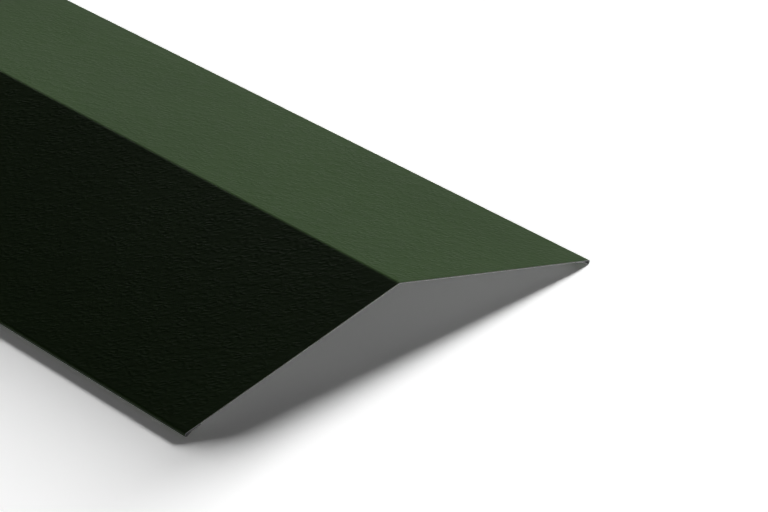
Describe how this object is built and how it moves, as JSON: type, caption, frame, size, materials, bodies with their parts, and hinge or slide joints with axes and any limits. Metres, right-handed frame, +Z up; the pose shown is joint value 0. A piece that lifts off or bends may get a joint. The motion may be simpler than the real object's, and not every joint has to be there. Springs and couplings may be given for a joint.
{
  "type": "ridge flashing",
  "caption": "Long coated steel sheet folded along the middle to a shallow upside-down V with both long edges hemmed under, which covers the ridge of a roof.",
  "frame": {"origin": "on the ground that the two hems stand on, midway along the length and straight below the ridge", "axes": "+X along the ridge, +Y across it, +Z up"},
  "size_m": [3, 0.2908, 0.0381],
  "materials": {
    "coated_sheet": "satin"
  },
  "bodies": {
    "root": {"ridge_flashing": "coated_sheet"}
  },
  "joints": []
}
